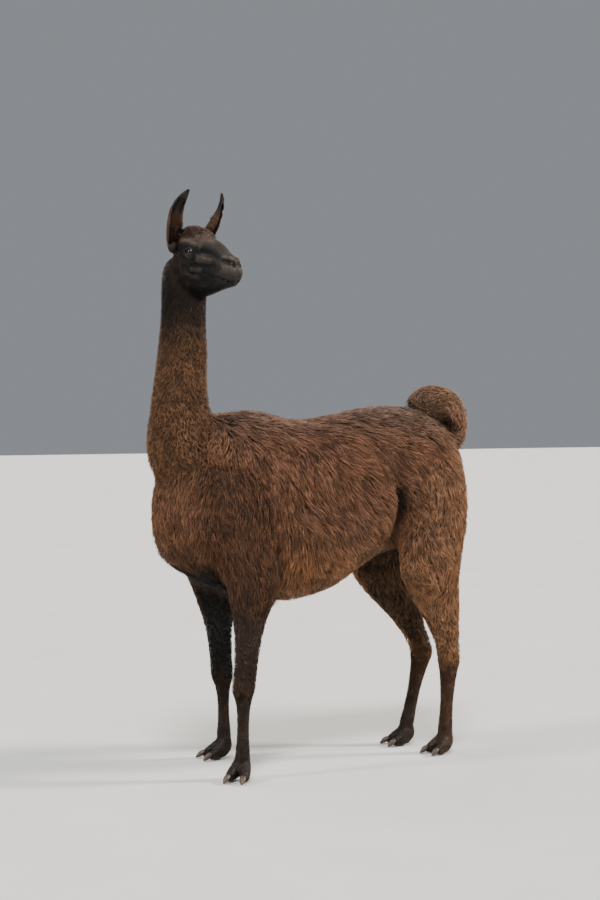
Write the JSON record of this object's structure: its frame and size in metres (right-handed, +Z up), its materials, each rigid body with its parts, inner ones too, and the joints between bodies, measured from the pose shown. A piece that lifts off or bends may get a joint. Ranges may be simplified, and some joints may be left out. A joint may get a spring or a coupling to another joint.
{
  "type": "llama",
  "caption": "Life-size standing llama with an upright neck, its head turned back over one shoulder and its tail curled up.",
  "frame": {"origin": "on the floor, under the middle of the animal's bounding box", "axes": "+Z up, the animal faces -Y and its left side is +X"},
  "size_m": [0.4872, 1.1394, 1.8388],
  "materials": {
    "body_coat": "long soft wavy dark brown wool",
    "face_coat": "short smooth charcoal hair",
    "leg_coat": "short smooth black-brown hair",
    "nail": "worn pale horn",
    "eye": "wet dark eye"
  },
  "bodies": {
    "root": {"ear_left": "face_coat", "ear_right": "face_coat", "eye_left": "eye", "eye_right": "eye", "foot_fore_left": "leg_coat", "foot_fore_right": "leg_coat", "foot_hind_left": "leg_coat", "foot_hind_right": "leg_coat", "head": "face_coat", "leg_fore_left_lower": "leg_coat", "leg_fore_left_upper": "body_coat", "leg_fore_right_lower": "leg_coat", "leg_fore_right_upper": "body_coat", "leg_hind_left_lower": "leg_coat", "leg_hind_left_upper": "body_coat", "leg_hind_right_lower": "leg_coat", "leg_hind_right_upper": "body_coat", "nail_fore_left_inner": "nail", "nail_fore_left_outer": "nail", "nail_fore_right_inner": "nail", "nail_fore_right_outer": "nail", "nail_hind_left_inner": "nail", "nail_hind_left_outer": "nail", "nail_hind_right_inner": "nail", "nail_hind_right_outer": "nail", "neck": "body_coat", "tail": "body_coat", "trunk": "body_coat"}
  },
  "joints": []
}
